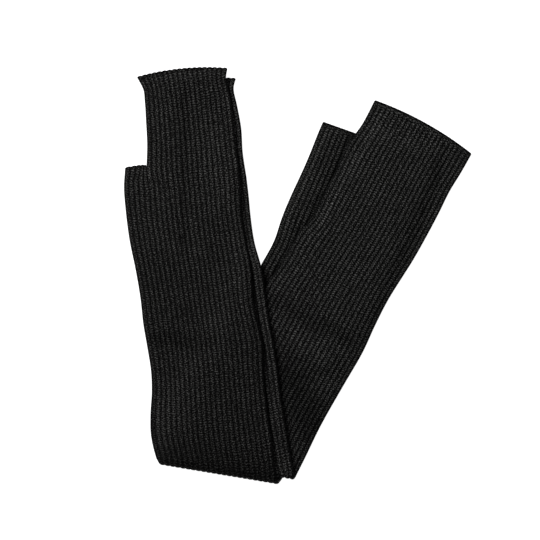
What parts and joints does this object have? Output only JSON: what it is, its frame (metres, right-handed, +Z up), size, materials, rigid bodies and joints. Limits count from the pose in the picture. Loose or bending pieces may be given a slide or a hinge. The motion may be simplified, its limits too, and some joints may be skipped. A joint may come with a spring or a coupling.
{
  "type": "pair of knitted arm warmers",
  "caption": "Two long rib-knitted tubes with side thumb openings, laid flat one on the other and folded together into a V.",
  "frame": {"origin": "middle of the pair's footprint, on the surface it lies on", "axes": "+Z up from the surface, +Y from the fold to the open top of the V, +X to the side of the upper-arm ends"},
  "size_m": [0.3116, 0.375, 0.0172],
  "materials": {
    "rib_knit": "near-black rib knit, matt with a faint nap"
  },
  "bodies": {
    "root": {"arm_warmer_outer": "rib_knit", "arm_warmer_inner": "rib_knit"}
  },
  "joints": []
}
